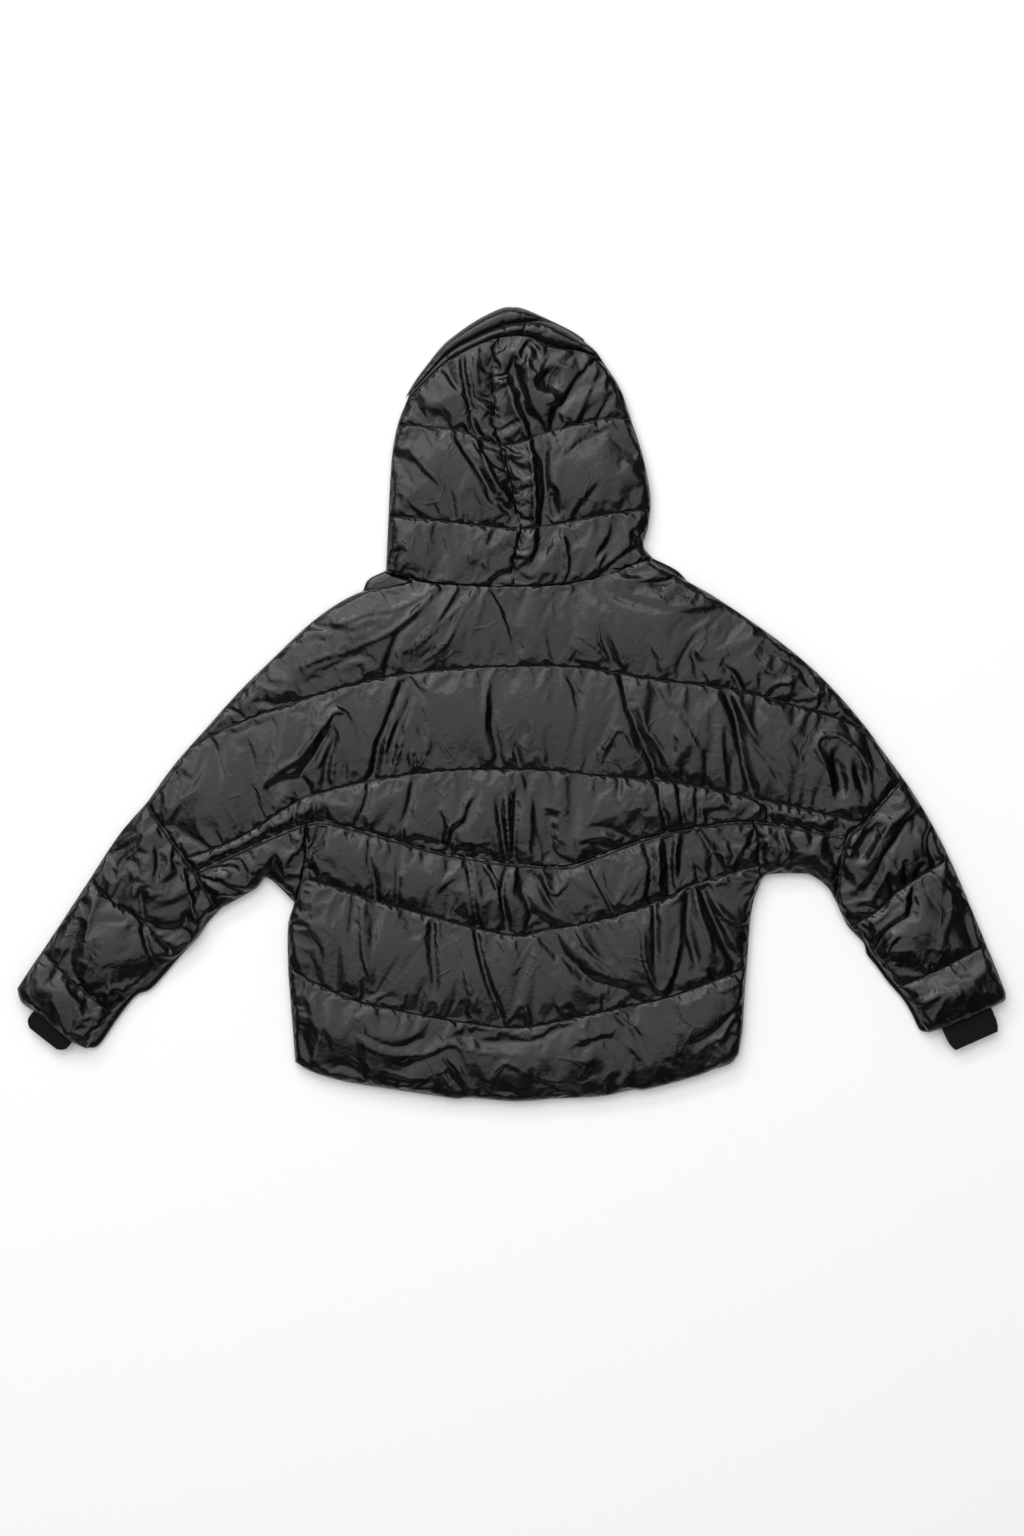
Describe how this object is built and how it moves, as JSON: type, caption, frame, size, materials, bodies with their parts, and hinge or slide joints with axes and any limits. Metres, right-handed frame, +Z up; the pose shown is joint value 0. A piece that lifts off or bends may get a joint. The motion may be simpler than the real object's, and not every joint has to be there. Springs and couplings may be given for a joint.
{
  "type": "hooded puffer jacket",
  "caption": "Cropped batwing puffer jacket in black faux leather, laid flat back up, with a quilted hood, curved quilting lines and ribbed knit cuffs.",
  "frame": {"origin": "on the surface that the jacket lies on, under the middle of its laid outline", "axes": "+X to the wearer's right (the viewer's right, because the back is up), +Y towards the hood, +Z up from the surface"},
  "size_m": [1.2306, 0.9909, 0.0461],
  "materials": {
    "faux_leather": "semi-gloss, finely grained and crinkled black faux leather",
    "rib_knit": "matte black ribbed knit",
    "zip_tape": "matte black zip tape and chain"
  },
  "bodies": {
    "root": {"back_upper": "faux_leather", "back_lower": "faux_leather", "underarm_left": "faux_leather", "underarm_right": "faux_leather", "sleeve_left_back": "faux_leather", "sleeve_right_back": "faux_leather", "sleeve_left_front": "faux_leather", "sleeve_right_front": "faux_leather", "hood_left": "faux_leather", "hood_right": "faux_leather", "hood_crown": "faux_leather", "hood_band": "faux_leather", "hood_stand": "faux_leather", "front_left": "faux_leather", "front_right": "faux_leather", "zip": "zip_tape", "cuff_left": "rib_knit", "cuff_right": "rib_knit"}
  },
  "joints": []
}
